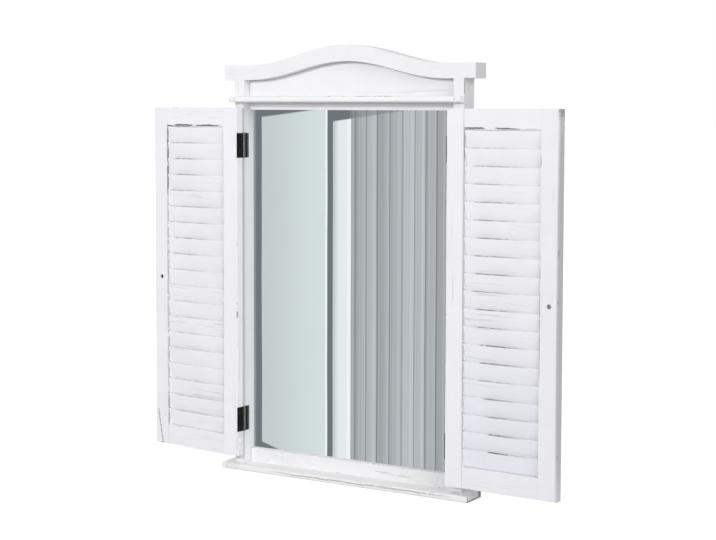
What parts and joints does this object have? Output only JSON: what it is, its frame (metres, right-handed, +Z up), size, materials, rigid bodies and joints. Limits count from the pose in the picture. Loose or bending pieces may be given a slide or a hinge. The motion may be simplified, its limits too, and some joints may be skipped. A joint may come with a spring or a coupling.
{
  "type": "shutter mirror",
  "caption": "Wall mirror in a window-style wooden frame with an arched cornice, ledge and sill, and a pair of hinged louvred shutters that fold right back; distressed white paint.",
  "frame": {"origin": "middle of the sill's lower back edge, on the wall plane", "axes": "+X along the wall to the viewer's right, +Y into the wall, +Z up"},
  "size_m": [0.7766, 0.0622, 0.71],
  "materials": {
    "painted_wood": "distressed white paint on softwood, rubbed through at the edges",
    "painted_slats": "distressed white paint on thin softwood slats",
    "mirror_glass": "silvered float glass, faintly green",
    "hardboard": "bare hardboard",
    "aged_bronze": "dark bronze lacquer, satin, worn at the knuckles",
    "zinc_plated_steel": "zinc plated, satin",
    "nail_steel": "bright steel, dulled"
  },
  "bodies": {
    "frame": {"left_stile": "painted_wood", "right_stile": "painted_wood", "top_rail": "painted_wood", "bottom_rail": "painted_wood", "header_panel": "painted_wood", "arched_cornice": "painted_wood", "ledge_moulding": "painted_wood", "sill_board": "painted_wood", "mirror_glass": "mirror_glass", "backing_board": "hardboard", "backing_brads": "zinc_plated_steel", "left_hanger_plate": "zinc_plated_steel", "right_hanger_plate": "zinc_plated_steel", "hanger_screws": "zinc_plated_steel", "ledge_nails": "nail_steel", "sill_screws": "zinc_plated_steel", "cornice_nails": "nail_steel", "left_upper_frame_leaf": "aged_bronze", "left_lower_frame_leaf": "aged_bronze", "right_upper_frame_leaf": "aged_bronze", "right_lower_frame_leaf": "aged_bronze", "left_upper_hinge_pin": "aged_bronze", "left_lower_hinge_pin": "aged_bronze", "right_upper_hinge_pin": "aged_bronze", "right_lower_hinge_pin": "aged_bronze", "frame_hinge_screws": "aged_bronze"},
    "left_shutter": {"left_upper_shutter_leaf": "aged_bronze", "left_lower_shutter_leaf": "aged_bronze", "left_shutter_hinge_screws": "aged_bronze", "left_hinge_stile": "painted_wood", "left_meeting_stile": "painted_wood", "left_shutter_top_rail": "painted_wood", "left_shutter_bottom_rail": "painted_wood", "left_slats": "painted_slats", "left_knob": "painted_wood", "left_knob_screw": "zinc_plated_steel"},
    "right_shutter": {"right_upper_shutter_leaf": "aged_bronze", "right_lower_shutter_leaf": "aged_bronze", "right_shutter_hinge_screws": "aged_bronze", "right_hinge_stile": "painted_wood", "right_meeting_stile": "painted_wood", "right_shutter_top_rail": "painted_wood", "right_shutter_bottom_rail": "painted_wood", "right_slats": "painted_slats", "right_knob": "painted_wood", "right_knob_screw": "zinc_plated_steel"}
  },
  "joints": [
    {"name": "left_shutter_hinge", "type": "hinge", "parent": "frame", "child": "left_shutter", "pos_m": [-0.1948, -0.03578, 0.31605], "axis": [0, 0, -1], "range_deg": [-187.4, 0.6]},
    {"name": "right_shutter_hinge", "type": "hinge", "parent": "frame", "child": "right_shutter", "pos_m": [0.1948, -0.03578, 0.31605], "axis": [0, 0, 1], "range_deg": [-177.3, 10.7]}
  ]
}
